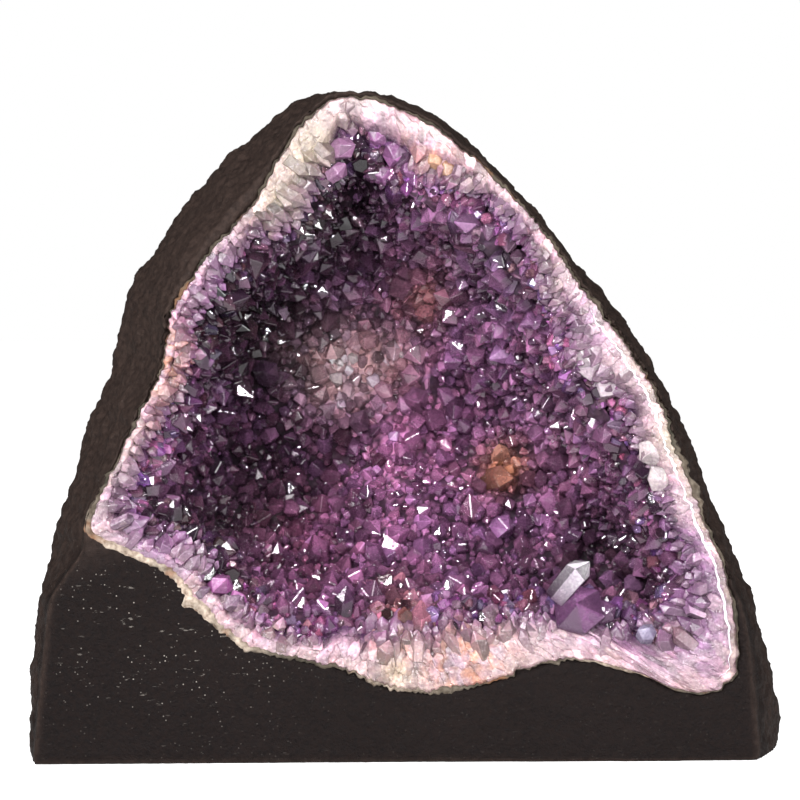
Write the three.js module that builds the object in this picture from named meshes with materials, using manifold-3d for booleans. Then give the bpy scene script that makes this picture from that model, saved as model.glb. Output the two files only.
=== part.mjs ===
// Amethyst geode with a sawn, polished opening, standing on its flat sawn base.
// Millimetres, +Z up, +X along the width, the opening faces -Y.
// Origin: middle of the bounding box, on the base plane.

import * as THREE from 'three';
import { mergeVertices } from 'three/addons/utils/BufferGeometryUtils.js';
import Module from 'manifold-3d';

const wasm = await Module();
wasm.setup();

// Driving dimensions
const halfDepth = 56; // the sawn face lies at y = -halfDepth, the back of the rock at +halfDepth
const widestY = -22; // depth of the rock's widest section
const edgeRadius = 1; // worn edge round the sawn face
const backPower = 2.5; // roundness of the back, as a superellipse exponent
const cavityPower = 2.7; // roundness of the nested cavity walls
const lumpHeight = 1.8; // waviness of the natural outer surface
const centreX = 5; // axis that every layer closes in on
const rockCentreZ = 66;
const cavityCentreZ = 88;
const gap = 0.3; // clearance between touching layers
const crustThickness = 1;
const druseThickness = 3.6;
const liningRootDepth = 1.6; // how deep the lining's crystals are rooted in it
const rootInset = 1.5; // quartz left behind the root of a large crystal
const segments = 48; // steps round every outline
const cutDepth = 6; // how far the cutting bodies run past the sawn face

// Depth of the innermost point of each layer's back wall
const crustBackY = 35;
const quartzBackY = crustBackY - crustThickness - gap;
const druseBackY = 22;
const cavityBackY = 14;

// Rock outline, clockwise from the lower left: the sawn face's edge, then the widest section behind it.
const rockStations = [
  { face: [-96, -36], wide: [-99, -36] },
  { face: [-101, -16], wide: [-105, -16] },
  { face: [-100, 4], wide: [-105, 4] },
  { face: [-98, 24], wide: [-104, 24] },
  { face: [-96, 46], wide: [-102, 44] },
  { face: [-93, 65], wide: [-98, 64] },
  { face: [-86, 80], wide: [-92, 86] },
  { face: [-76, 98], wide: [-84, 107] },
  { face: [-69, 116], wide: [-77, 126] },
  { face: [-65, 132], wide: [-71, 140] },
  { face: [-53, 150], wide: [-60, 155] },
  { face: [-42, 165], wide: [-48, 169] },
  { face: [-30, 181], wide: [-34, 182] },
  { face: [-22, 188], wide: [-22, 189] },
  { face: [-12, 190], wide: [-8, 191] },
  { face: [1, 187], wide: [8, 187] },
  { face: [15, 180], wide: [22, 178] },
  { face: [34, 161], wide: [38, 162] },
  { face: [52, 141], wide: [55, 144] },
  { face: [70, 119], wide: [72, 125] },
  { face: [84, 92], wide: [87, 103] },
  { face: [95, 65], wide: [99, 76] },
  { face: [101, 45], wide: [108, 51] },
  { face: [103, 26], wide: [112, 34] },
  { face: [104, 6], wide: [116, 14] },
  { face: [103, -16], wide: [117, -14] },
  { face: [96, -36], wide: [106, -36] },
  { face: [50, -40], wide: [55, -40] },
  { face: [0, -40], wide: [0, -40] },
  { face: [-50, -40], wide: [-52, -40] },
];

// Opening, clockwise from the apex: the quartz band's outer edge, then its inner edge.
const rimStations = [
  { outer: [-15, 186], inner: [-13, 177] },
  { outer: [0, 182], inner: [-4, 169] },
  { outer: [12, 176], inner: [8, 163] },
  { outer: [22, 167], inner: [20, 157] },
  { outer: [41, 147], inner: [35, 141] },
  { outer: [54, 130], inner: [43, 127] },
  { outer: [70, 108], inner: [60, 101] },
  { outer: [84, 77], inner: [73, 78] },
  { outer: [91, 60], inner: [81, 62] },
  { outer: [96, 42], inner: [84, 48] },
  { outer: [98, 24], inner: [83, 38] },
  { outer: [88, 18], inner: [76, 34] },
  { outer: [72, 24], inner: [68, 33] },
  { outer: [58, 27], inner: [58, 36] },
  { outer: [45, 27], inner: [46, 34] },
  { outer: [32, 23], inner: [30, 37] },
  { outer: [18, 18], inner: [14, 37] },
  { outer: [2, 18], inner: [0, 39] },
  { outer: [-16, 26], inner: [-15, 39] },
  { outer: [-30, 29], inner: [-28, 38] },
  { outer: [-43, 31], inner: [-39, 43] },
  { outer: [-53, 40], inner: [-47, 50] },
  { outer: [-64, 52], inner: [-57, 60] },
  { outer: [-78, 60], inner: [-68, 69] },
  { outer: [-88, 65], inner: [-72, 77] },
  { outer: [-82, 79], inner: [-70, 86] },
  { outer: [-72, 96], inner: [-63, 101] },
  { outer: [-65, 114], inner: [-57, 112] },
  { outer: [-63, 127], inner: [-54, 125] },
  { outer: [-51, 146], inner: [-44, 139] },
  { outer: [-38, 161], inner: [-27, 150] },
  { outer: [-26, 179], inner: [-18, 165] },
];

// Swellings of the crystal lining, pushed forward from the back wall.
const swellings = [
  { x: 2, z: 68, height: 13, width: 24 },
  { x: 48, z: 62, height: 8, width: 18 },
  { x: -22, z: 98, height: 8, width: 13 },
  { x: 28, z: 122, height: 6, width: 17 },
];

// Crystals of the lining, set in rows from the opening to the back wall.
const liningRows = [
  { depth: 0.12, count: 21, radius: 3.2, length: 6.5 },
  { depth: 0.32, count: 18, radius: 3.8, length: 7.5 },
  { depth: 0.52, count: 16, radius: 4.4, length: 8.5 },
  { depth: 0.7, count: 13, radius: 4.8, length: 9 },
  { depth: 0.84, count: 10, radius: 5.4, length: 9.5 },
  { depth: 0.95, count: 6, radius: 5.8, length: 10 },
];
const goldenTurn = 0.618;

// Large single crystals near the rim: centre of the root, direction of growth, half width and length.
const largeCrystals = [
  { name: 'crystal_square_left', root: [-52, -47, 47], aim: [0.7, -0.25, 0.62], radius: 4.6, length: 14 },
  { name: 'crystal_twin_left', root: [-75, -44, 68], aim: [0.9, -0.25, 0.3], radius: 4, length: 13 },
  { name: 'crystal_upper_left', root: [-41, -44, 154], aim: [0.8, -0.3, -0.5], radius: 4, length: 14 },
  { name: 'crystal_apex', root: [-10, -47, 183], aim: [0.2, -0.25, -0.95], radius: 4.2, length: 15 },
  { name: 'crystal_apex_small', root: [5, -42, 175], aim: [-0.3, -0.3, -0.9], radius: 3.4, length: 15 },
  { name: 'crystal_iron_stained', root: [13, -46, 171], aim: [-0.6, -0.3, -0.75], radius: 4, length: 12 },
  { name: 'crystal_milky_upper', root: [65, -46, 117], aim: [-0.85, -0.25, -0.4], radius: 5, length: 15 },
  { name: 'crystal_milky_right', root: [84, -45, 90], aim: [-0.9, -0.25, -0.2], radius: 5, length: 16 },
  { name: 'crystal_right', root: [91, -44, 71], aim: [-0.93, -0.3, 0], radius: 4.4, length: 15 },
  { name: 'crystal_lower_right', root: [93, -46, 33], aim: [-0.8, -0.3, 0.5], radius: 4.6, length: 15 },
  { name: 'crystal_lavender', root: [74, -48, 24], aim: [-0.15, -0.2, 0.95], radius: 4.6, length: 14 },
  { name: 'crystal_big_purple', root: [55, -47.5, 27], aim: [-0.05, -0.1, 0.98], radius: 6.6, length: 21 },
  { name: 'crystal_clear_point', root: [46, -33, 28], aim: [0.16, -0.12, 0.97], radius: 3.6, length: 27 },
  { name: 'crystal_bottom', root: [1, -46, 29], aim: [0.1, -0.25, 0.95], radius: 4.4, length: 15 },
  { name: 'crystal_bottom_right', root: [22, -45, 28], aim: [-0.1, -0.25, 0.95], radius: 3.8, length: 14 },
];

const finishes = {
  paintedRock: { color: 0x2b2422, roughness: 0.8, metalness: 0 },
  crust: { color: 0x8c8570, roughness: 0.85, metalness: 0 },
  quartz: { color: 0xd9c3cc, roughness: 0.3, metalness: 0 },
  amethyst: { color: 0x63366f, roughness: 0.2, metalness: 0 },
  paleCrystal: { color: 0xc9b4cf, roughness: 0.18, metalness: 0 },
  deepCrystal: { color: 0x7d4392, roughness: 0.18, metalness: 0 },
};

// Sample a closed smooth outline through hand-set [x, z] points.
function outline(points) {
  const curve = new THREE.CatmullRomCurve3(
    points.map(([x, z]) => new THREE.Vector3(x, 0, z)),
    true,
    'centripetal',
  );
  const samples = [];
  for (let i = 0; i < segments; i += 1) {
    samples.push(curve.getPoint(i / segments));
  }
  return samples;
}

// Move a clockwise outline outwards by a distance, or inwards by a negative one.
function offsetOutline(samples, distance) {
  return samples.map((point, i) => {
    const before = samples[(i + segments - 1) % segments];
    const after = samples[(i + 1) % segments];
    const tangent = after.clone().sub(before).normalize();
    return new THREE.Vector3(point.x - tangent.z * distance, 0, point.z + tangent.x * distance);
  });
}

// Outline scaled towards an axis point and moved to a depth.
function ringAt(samples, scale, centreZ, y) {
  return samples.map((point) => new THREE.Vector3(
    centreX + (point.x - centreX) * scale,
    y,
    centreZ + (point.z - centreZ) * scale,
  ));
}

// Closed body from rings: the first is capped flat, the last closes on a pole.
function ringBody(rings, pole) {
  const vertices = [];
  const faces = [];
  const first = rings[0];
  const front = first.reduce((sum, point) => sum.add(point), new THREE.Vector3());
  front.divideScalar(first.length);
  vertices.push(front);
  rings.forEach((ring) => vertices.push(...ring));
  vertices.push(pole);
  const last = vertices.length - 1;
  const at = (ring, i) => 1 + ring * segments + (i % segments);
  for (let i = 0; i < segments; i += 1) {
    faces.push(0, at(0, i), at(0, i + 1));
    for (let ring = 0; ring < rings.length - 1; ring += 1) {
      faces.push(at(ring, i), at(ring + 1, i), at(ring + 1, i + 1));
      faces.push(at(ring, i), at(ring + 1, i + 1), at(ring, i + 1));
    }
    faces.push(at(rings.length - 1, i), last, at(rings.length - 1, i + 1));
  }
  const geometry = new THREE.BufferGeometry();
  geometry.setAttribute(
    'position',
    new THREE.Float32BufferAttribute(vertices.flatMap((v) => [v.x, v.y, v.z]), 3),
  );
  geometry.setIndex(faces);
  return geometry;
}

// Volume enclosed by a mesh, negative when its faces point inwards.
function signedVolume(position, index) {
  const a = new THREE.Vector3();
  const b = new THREE.Vector3();
  const c = new THREE.Vector3();
  let volume = 0;
  for (let i = 0; i < index.length; i += 3) {
    a.fromBufferAttribute(position, index[i]);
    b.fromBufferAttribute(position, index[i + 1]);
    c.fromBufferAttribute(position, index[i + 2]);
    volume += a.dot(b.cross(c)) / 6;
  }
  return volume;
}

// Turn a closed three.js geometry into a solid that can be joined and cut.
function solid(geometry) {
  const plain = geometry.clone();
  plain.deleteAttribute('normal');
  plain.deleteAttribute('uv');
  const merged = mergeVertices(plain, 1e-3);
  const index = merged.index.array;
  const flip = signedVolume(merged.attributes.position, index) < 0;
  const triangles = [];
  for (let i = 0; i < index.length; i += 3) {
    const [a, b, c] = [index[i], index[i + 1], index[i + 2]];
    if (a !== b && b !== c && c !== a) {
      triangles.push(a, flip ? c : b, flip ? b : c);
    }
  }
  return new wasm.Manifold(new wasm.Mesh({
    numProp: 3,
    vertProperties: new Float32Array(merged.attributes.position.array),
    triVerts: new Uint32Array(triangles),
  }));
}

// Largest connected body of a solid, so that no loose splinter is kept.
function largestBody(body) {
  const pieces = body.decompose();
  return pieces.reduce((best, piece) => (piece.volume() > best.volume() ? piece : best));
}

// Named mesh of a finished solid.
function makeMesh(name, body, finish) {
  const mesh = body.getMesh();
  const geometry = new THREE.BufferGeometry();
  geometry.setAttribute('position', new THREE.BufferAttribute(new Float32Array(mesh.vertProperties), 3));
  geometry.setIndex(new THREE.BufferAttribute(new Uint32Array(mesh.triVerts), 1));
  geometry.computeVertexNormals();
  const part = new THREE.Mesh(geometry, new THREE.MeshStandardMaterial(finish));
  part.name = name;
  return part;
}

// Rock: sawn face, worn edge, widest section, then a lumpy rounded back.
function rockBody() {
  const face = outline(rockStations.map((station) => station.face));
  const wide = outline(rockStations.map((station) => station.wide));
  const faceY = -halfDepth;
  const rings = [ringAt(offsetOutline(face, -edgeRadius), 1, rockCentreZ, faceY)];
  for (const mix of [0, 0.4, 0.75, 1]) {
    const blend = face.map((point, i) => point.clone().lerp(wide[i], mix));
    const turn = Math.asin(mix) / (Math.PI / 2);
    const y = THREE.MathUtils.lerp(faceY + edgeRadius, widestY, turn);
    rings.push(ringAt(blend, 1, rockCentreZ, y));
  }
  for (const step of [0.25, 0.45, 0.62, 0.76, 0.88, 0.96]) {
    const scale = (1 - step ** backPower) ** (1 / backPower);
    rings.push(ringAt(wide, scale, rockCentreZ, THREE.MathUtils.lerp(widestY, halfDepth, step)));
  }
  for (const ring of rings.slice(2)) {
    for (const point of ring) {
      const wave = Math.sin(point.x * 0.11 + point.y * 0.07)
        + Math.sin(point.z * 0.13 - point.y * 0.09 + 1)
        + Math.sin((point.x + point.z) * 0.19 + 2);
      const outward = new THREE.Vector3(point.x - centreX, 0, point.z - rockCentreZ).normalize();
      point.addScaledVector(outward, wave * lumpHeight / 3);
    }
  }
  return solid(ringBody(rings, new THREE.Vector3(centreX, halfDepth, rockCentreZ)));
}

// Cup-shaped body that starts in front of the sawn face and closes at a back wall.
function cupBody(samples, backY, pushForward = () => 0) {
  const rings = [ringAt(samples, 1, cavityCentreZ, -halfDepth - cutDepth)];
  for (const step of [0, 0.2, 0.4, 0.58, 0.73, 0.85, 0.94]) {
    const scale = (1 - step ** cavityPower) ** (1 / cavityPower);
    const ring = ringAt(samples, scale, cavityCentreZ, THREE.MathUtils.lerp(-halfDepth, backY, step));
    for (const point of ring) {
      point.y -= pushForward(point) * step;
    }
    rings.push(ring);
  }
  const pole = new THREE.Vector3(centreX, backY, cavityCentreZ);
  pole.y -= pushForward(pole);
  return ringBody(rings, pole);
}

// Depth by which the lining swells forward at a point.
function swelling(point) {
  let height = 0;
  for (const hill of swellings) {
    const distance = Math.hypot(point.x - hill.x, point.z - hill.z) / hill.width;
    height += hill.height * Math.exp(-distance * distance);
  }
  return height;
}

// Six-sided crystal with a pointed tip, grown from a root point along a direction.
function crystalGeometry(root, aim, radius, length, grow = 0) {
  const tipLength = radius * 1.35;
  const profile = [
    new THREE.Vector2(0, -grow),
    new THREE.Vector2(radius + grow, -grow),
    new THREE.Vector2(radius + grow, length - tipLength),
    new THREE.Vector2(0, length + grow * 2),
  ];
  const geometry = new THREE.LatheGeometry(profile, 6);
  const up = new THREE.Vector3(0, 1, 0);
  geometry.applyQuaternion(new THREE.Quaternion().setFromUnitVectors(up, aim.clone().normalize()));
  geometry.translate(root.x, root.y, root.z);
  return geometry;
}

// Crystals of the lining, rooted in the cavity wall and leaning towards the middle.
function liningCrystals(wall) {
  const geometries = [];
  const middle = new THREE.Vector3(centreX, -halfDepth * 0.6, cavityCentreZ);
  let turn = 0;
  for (const row of liningRows) {
    const scale = (1 - row.depth ** cavityPower) ** (1 / cavityPower);
    for (let i = 0; i < row.count; i += 1) {
      const around = (i / row.count + turn) % 1;
      const edge = wall[Math.floor(around * segments)];
      const y = THREE.MathUtils.lerp(-halfDepth, cavityBackY, row.depth);
      const root = ringAt([edge], scale, cavityCentreZ, y)[0];
      root.y -= swelling(root) * row.depth;
      const aim = middle.clone().sub(root).normalize();
      root.addScaledVector(aim, -liningRootDepth);
      geometries.push(crystalGeometry(root, aim, row.radius, row.length));
    }
    turn += goldenTurn;
  }
  return geometries;
}

const rimOuter = outline(rimStations.map((station) => station.outer));
const rimInner = outline(rimStations.map((station) => station.inner));
const cavityWall = offsetOutline(rimInner, -druseThickness);

// Everything in front of the sawn face and everything below the base plane is cut away.
const cutSize = 400;
const frontCut = solid(new THREE.BoxGeometry(cutSize, cutSize, cutSize)
  .translate(0, -halfDepth - cutSize / 2, cutSize / 4));
const baseCut = solid(new THREE.BoxGeometry(cutSize, cutSize, cutSize).translate(0, 0, -cutSize / 2));

const crustCut = solid(cupBody(offsetOutline(rimOuter, crustThickness + 2 * gap), crustBackY + gap));
const crustOuter = solid(cupBody(offsetOutline(rimOuter, crustThickness + gap), crustBackY));
const quartzCut = solid(cupBody(offsetOutline(rimOuter, gap), quartzBackY + gap));
const quartzOuter = solid(cupBody(rimOuter, quartzBackY));
const rootLimit = solid(cupBody(offsetOutline(rimOuter, -rootInset), quartzBackY - rootInset));
const druseCut = solid(cupBody(rimInner, druseBackY + gap));
const druseOuter = solid(cupBody(offsetOutline(rimInner, -gap), druseBackY));
const cavity = solid(cupBody(cavityWall, cavityBackY, swelling));

let rock = rockBody().subtract(crustCut).subtract(baseCut);
let crust = crustOuter.subtract(quartzCut).subtract(frontCut);
let quartz = quartzOuter.subtract(druseCut).subtract(frontCut);
let druse = druseOuter.subtract(cavity);
for (const geometry of liningCrystals(cavityWall)) {
  druse = druse.add(solid(geometry).intersect(druseOuter));
}
druse = druse.subtract(frontCut);

// Each large crystal sits in a socket of its own shape in the quartz and the lining.
const crystals = [];
for (const { name, root, aim, radius, length } of largeCrystals) {
  const base = new THREE.Vector3(...root);
  const direction = new THREE.Vector3(...aim);
  const body = solid(crystalGeometry(base, direction, radius, length))
    .intersect(rootLimit)
    .subtract(frontCut);
  const socket = solid(crystalGeometry(base, direction, radius, length, gap));
  quartz = quartz.subtract(socket);
  druse = druse.subtract(socket);
  const pale = /milky|clear|lavender|stained/.test(name);
  crystals.push({ name, body, finish: pale ? finishes.paleCrystal : finishes.deepCrystal });
}

rock = largestBody(rock);
crust = largestBody(crust);
quartz = largestBody(quartz);
druse = largestBody(druse);

const geode = new THREE.Group();
geode.add(makeMesh('painted_basalt_shell', rock, finishes.paintedRock));
geode.add(makeMesh('celadonite_crust', crust, finishes.crust));
geode.add(makeMesh('quartz_rim_band', quartz, finishes.quartz));
geode.add(makeMesh('amethyst_druse', druse, finishes.amethyst));
for (const { name, body, finish } of crystals) {
  geode.add(makeMesh(name, body, finish));
}

// Stand the model on its base with the bounding box centred on the origin.
const box = new THREE.Box3().setFromObject(geode);
const middle = box.getCenter(new THREE.Vector3());
geode.position.set(-middle.x, -middle.y, -box.min.z);

export default geode;
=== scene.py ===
import math
import random
import bpy
import bmesh
import numpy as np
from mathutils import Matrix, Quaternion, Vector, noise


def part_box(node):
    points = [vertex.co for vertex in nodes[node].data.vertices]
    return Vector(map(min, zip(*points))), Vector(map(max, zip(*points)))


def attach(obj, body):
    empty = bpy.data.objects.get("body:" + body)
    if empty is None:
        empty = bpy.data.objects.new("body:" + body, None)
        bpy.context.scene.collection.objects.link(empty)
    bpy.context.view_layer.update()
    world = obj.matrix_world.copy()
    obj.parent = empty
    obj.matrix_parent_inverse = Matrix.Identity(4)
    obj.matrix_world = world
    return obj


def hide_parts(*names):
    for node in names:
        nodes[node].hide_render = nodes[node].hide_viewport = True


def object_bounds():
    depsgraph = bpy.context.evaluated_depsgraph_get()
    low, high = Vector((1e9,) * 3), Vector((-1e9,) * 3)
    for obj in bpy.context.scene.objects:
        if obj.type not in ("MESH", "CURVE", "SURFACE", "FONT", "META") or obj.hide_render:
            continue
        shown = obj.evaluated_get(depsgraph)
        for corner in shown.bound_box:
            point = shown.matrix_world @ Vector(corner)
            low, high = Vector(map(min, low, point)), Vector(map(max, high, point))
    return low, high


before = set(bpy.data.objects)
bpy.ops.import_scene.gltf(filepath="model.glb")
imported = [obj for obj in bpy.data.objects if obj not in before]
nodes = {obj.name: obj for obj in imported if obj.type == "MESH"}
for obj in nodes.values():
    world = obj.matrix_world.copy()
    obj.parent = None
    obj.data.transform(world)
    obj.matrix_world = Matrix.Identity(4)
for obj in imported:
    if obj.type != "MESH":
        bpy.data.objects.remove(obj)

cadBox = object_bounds()
mm = 0.001
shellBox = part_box("painted_basalt_shell")
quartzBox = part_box("quartz_rim_band")
faceY = shellBox[0].y  # the sawn front plane
cavityCentre = Vector(((quartzBox[0].x + quartzBox[1].x) / 2, faceY, 0.088))


def smoothStep(low, high, value):
    t = np.clip((value - low) / (high - low), 0, 1)
    return t * t * (3 - 2 * t)


def blend(a, b, t):
    return tuple(x * (1 - t) + y * t for x, y in zip(a, b))


def makeObject(name, vertices, faces, material, smooth=False):
    mesh = bpy.data.meshes.new(name)
    mesh.from_pydata([tuple(v) for v in vertices], [], faces)
    mesh.update()
    if smooth:
        mesh.shade_smooth()
    obj = bpy.data.objects.new(name, mesh)
    bpy.context.scene.collection.objects.link(obj)
    mesh.materials.append(material)
    return obj


def addTint(obj, colours, name="tint"):
    layer = obj.data.color_attributes.new(name, "FLOAT_COLOR", "POINT")
    flat = np.ones((len(obj.data.vertices), 4), np.float32)
    flat[:, :3] = colours
    layer.data.foreach_set("color", flat.ravel())


def meshArrays(obj):
    mesh = obj.data
    co = np.zeros(len(mesh.vertices) * 3)
    no = np.zeros(len(mesh.vertices) * 3)
    mesh.vertices.foreach_get("co", co)
    mesh.vertices.foreach_get("normal", no)
    return co.reshape(-1, 3), no.reshape(-1, 3)


# one skin over copies of CAD nodes
def remeshed(name, sources, voxel, relax):
    joined = bmesh.new()
    for source in sources:
        joined.from_mesh(nodes[source].data)
    bmesh.ops.remove_doubles(joined, verts=joined.verts, dist=1e-6)
    mesh = bpy.data.meshes.new(name + "_raw")
    joined.to_mesh(mesh)
    joined.free()
    raw = bpy.data.objects.new(name + "_raw", mesh)
    bpy.context.scene.collection.objects.link(raw)
    remesh = raw.modifiers.new("skin", "REMESH")
    remesh.mode = "VOXEL"
    remesh.voxel_size = voxel
    if relax:
        soft = raw.modifiers.new("relax", "SMOOTH")
        soft.factor = 0.5
        soft.iterations = relax
    bpy.context.view_layer.update()
    graph = bpy.context.evaluated_depsgraph_get()
    skin = bpy.data.meshes.new_from_object(raw.evaluated_get(graph))
    bpy.data.objects.remove(raw)
    skin.name = name
    skin.materials.clear()
    obj = bpy.data.objects.new(name, skin)
    bpy.context.scene.collection.objects.link(obj)
    return obj


def place(obj, slotName, *replaced):
    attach(obj, "root")
    if replaced:
        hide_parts(*replaced)
    return obj


# closed outlines of a node's flat front face, longest first, as (x, z) arrays
def faceLoops(nodeName):
    work = bmesh.new()
    work.from_mesh(nodes[nodeName].data)
    bmesh.ops.remove_doubles(work, verts=work.verts, dist=2e-6)
    front = {f for f in work.faces if all(v.co.y < faceY + 2e-5 for v in f.verts)}
    follow = {}
    for face in front:
        for edge in face.edges:
            if sum(other in front for other in edge.link_faces) == 1:
                a, b = edge.verts
                follow.setdefault(a, []).append(b)
                follow.setdefault(b, []).append(a)
    loops = []
    seen = set()
    for start in follow:
        if start in seen:
            continue
        loop, current, previous = [], start, None
        while current is not None and current not in seen:
            seen.add(current)
            loop.append((current.co.x, current.co.z))
            options = [v for v in follow[current] if v is not previous and v not in seen]
            previous, current = current, options[0] if options else None
        loops.append(np.array(loop))
    work.free()

    def length(points):
        return np.linalg.norm(points - np.roll(points, 1, 0), axis=1).sum()
    return sorted(loops, key=length, reverse=True)


# outline as distances from the cavity's centre at even angles, clockwise from the top
def radialOutline(points, count):
    centre = np.array([cavityCentre.x, cavityCentre.z])
    rel = points - centre
    angle = np.unwrap(np.arctan2(rel[:, 0], rel[:, 1]))
    if angle[-1] < angle[0]:
        angle, rel = angle[::-1], rel[::-1]
    radius = np.linalg.norm(rel, axis=1)
    order = np.argsort(np.mod(angle, 2 * math.pi))
    around, reach = np.mod(angle, 2 * math.pi)[order], radius[order]
    around = np.concatenate([around[-3:] - 2 * math.pi, around, around[:3] + 2 * math.pi])
    reach = np.concatenate([reach[-3:], reach, reach[:3]])
    even = np.arange(count) * 2 * math.pi / count
    return np.interp(even, around, reach)


# angle (clockwise from the top) and distance of points about the cavity's centre, and their offsets
def polar(co):
    rel = co[:, [0, 2]] - np.array([cavityCentre.x, cavityCentre.z])
    return np.mod(np.arctan2(rel[:, 0], rel[:, 1]), 2 * math.pi), np.linalg.norm(rel, axis=1), rel


# 1 at a place on the face (x, z in mm), fading away over a width in mm
def nearness(point, x, z, width):
    return math.exp(-((point.x / mm - x) ** 2 + (point.z / mm - z) ** 2) / width ** 2)


# circular moving average
def softened(values, width):
    kernel = np.hanning(width * 2 + 1)
    kernel /= kernel.sum()
    padded = np.concatenate([values[-width:], values, values[:width]])
    return np.convolve(padded, kernel, "valid")


# small builder for a material's node tree
class Graph:

    def __init__(self, name):
        self.material = bpy.data.materials.new(name)
        self.material.use_nodes = True
        self.tree = self.material.node_tree
        self.shader = self.tree.nodes["Principled BSDF"]

    def node(self, kind, **values):
        made = self.tree.nodes.new(kind)
        for key, value in values.items():
            setattr(made, key, value)
        return made

    def link(self, a, b):
        self.tree.links.new(a, b)


def newGroup(name, inputs, outputs):
    tree = bpy.data.node_groups.new(name, "ShaderNodeTree")
    for socket, kind, value in inputs:
        made = tree.interface.new_socket(socket, in_out="INPUT", socket_type=kind)
        if value is not None:
            made.default_value = value
    for socket, kind in outputs:
        tree.interface.new_socket(socket, in_out="OUTPUT", socket_type=kind)
    return tree, tree.nodes.new("NodeGroupInput"), tree.nodes.new("NodeGroupOutput")


def placeGroup(tree, group, **values):
    made = tree.nodes.new("ShaderNodeGroup")
    made.node_tree = group
    for key, value in values.items():
        made.inputs[key].default_value = value
    return made


def mixColour(tree, factor, a, b, blend="MIX"):
    mix = tree.nodes.new("ShaderNodeMix")
    mix.data_type = "RGBA"
    mix.blend_type = blend
    for socket, value in ((mix.inputs[0], factor), (mix.inputs[6], a), (mix.inputs[7], b)):
        if isinstance(value, bpy.types.NodeSocket):
            tree.links.new(value, socket)
        elif isinstance(value, (int, float)):
            socket.default_value = value
        else:
            socket.default_value = (*value, 1)
    return mix.outputs[2]


def mathNode(tree, operation, a, b=0.0, clamp=False):
    made = tree.nodes.new("ShaderNodeMath")
    made.operation = operation
    made.use_clamp = clamp
    for socket, value in ((made.inputs[0], a), (made.inputs[1], b)):
        if isinstance(value, bpy.types.NodeSocket):
            tree.links.new(value, socket)
        else:
            socket.default_value = value
    return made.outputs[0]


def rangeNode(tree, value, low, high, outLow=0.0, outHigh=1.0):
    made = tree.nodes.new("ShaderNodeMapRange")
    tree.links.new(value, made.inputs["Value"])
    made.inputs["From Min"].default_value = low
    made.inputs["From Max"].default_value = high
    made.inputs["To Min"].default_value = outLow
    made.inputs["To Max"].default_value = outHigh
    return made.outputs["Result"]


def noiseNode(tree, vector, scale, detail=4.0, rough=0.6):
    made = tree.nodes.new("ShaderNodeTexNoise")
    made.inputs["Scale"].default_value = scale
    made.inputs["Detail"].default_value = detail
    made.inputs["Roughness"].default_value = rough
    tree.links.new(vector, made.inputs["Vector"])
    return made.outputs["Fac"]


# cloudy variation at a chosen scale: a mask and a height
def mottleGroup():
    tree, given, result = newGroup(
        "Mottle",
        [("Scale", "NodeSocketFloat", 60.0), ("Contrast", "NodeSocketFloat", 0.5)],
        [("Mask", "NodeSocketFloat"), ("Height", "NodeSocketFloat")],
    )
    coords = tree.nodes.new("ShaderNodeTexCoord").outputs["Object"]
    cloud = tree.nodes.new("ShaderNodeTexNoise")
    cloud.inputs["Detail"].default_value = 5
    tree.links.new(coords, cloud.inputs["Vector"])
    tree.links.new(given.outputs["Scale"], cloud.inputs["Scale"])
    centred = mathNode(tree, "SUBTRACT", cloud.outputs["Fac"], 0.5)
    scaled = mathNode(tree, "MULTIPLY", centred, given.outputs["Contrast"])
    mask = mathNode(tree, "ADD", mathNode(tree, "MULTIPLY", scaled, 4.0), 0.5, clamp=True)
    tree.links.new(mask, result.inputs["Mask"])
    tree.links.new(cloud.outputs["Fac"], result.inputs["Height"])
    return tree


# fine height for a bump
def grainGroup():
    tree, given, result = newGroup(
        "Grain",
        [("Scale", "NodeSocketFloat", 800.0), ("Detail", "NodeSocketFloat", 4.0),
         ("Sharpness", "NodeSocketFloat", 0.6)],
        [("Height", "NodeSocketFloat")],
    )
    grain = tree.nodes.new("ShaderNodeTexNoise")
    tree.links.new(tree.nodes.new("ShaderNodeTexCoord").outputs["Object"], grain.inputs["Vector"])
    tree.links.new(given.outputs["Scale"], grain.inputs["Scale"])
    tree.links.new(given.outputs["Detail"], grain.inputs["Detail"])
    tree.links.new(given.outputs["Sharpness"], grain.inputs["Roughness"])
    tree.links.new(grain.outputs["Fac"], result.inputs["Height"])
    return tree


# clouds, flecks and pale veils over a crystal's tint
def crystalCloudGroup():
    tree, given, result = newGroup(
        "Crystal clouds",
        [("Tint", "NodeSocketColor", None), ("Haze", "NodeSocketFloat", 0.3)],
        [("Colour", "NodeSocketColor"), ("Height", "NodeSocketFloat")],
    )
    coords = tree.nodes.new("ShaderNodeTexCoord").outputs["Object"]
    tint = given.outputs["Tint"]
    cloud = placeGroup(tree, mottle, Scale=330.0, Contrast=0.7)
    deep = mixColour(tree, 1.0, tint, (0.55, 0.5, 0.6), "MULTIPLY")
    base = mixColour(tree, mathNode(tree, "MULTIPLY", cloud.outputs["Mask"], 0.5), tint, deep)
    flecks = placeGroup(tree, mottle, Scale=1300.0, Contrast=1.2)
    base = mixColour(tree, mathNode(tree, "MULTIPLY", flecks.outputs["Mask"], 0.4), base,
                     mixColour(tree, 1.0, base, (0.42, 0.36, 0.46), "MULTIPLY"))
    veil = rangeNode(tree, noiseNode(tree, coords, 900, 3, 0.7), 0.6, 0.75)
    base = mixColour(tree, mathNode(tree, "MULTIPLY", veil, given.outputs["Haze"]), base, (0.72, 0.62, 0.72))
    tree.links.new(base, result.inputs["Colour"])
    tree.links.new(cloud.outputs["Height"], result.inputs["Height"])
    return tree


mottle = mottleGroup()
fineGrain = grainGroup()
crystalClouds = crystalCloudGroup()

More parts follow.
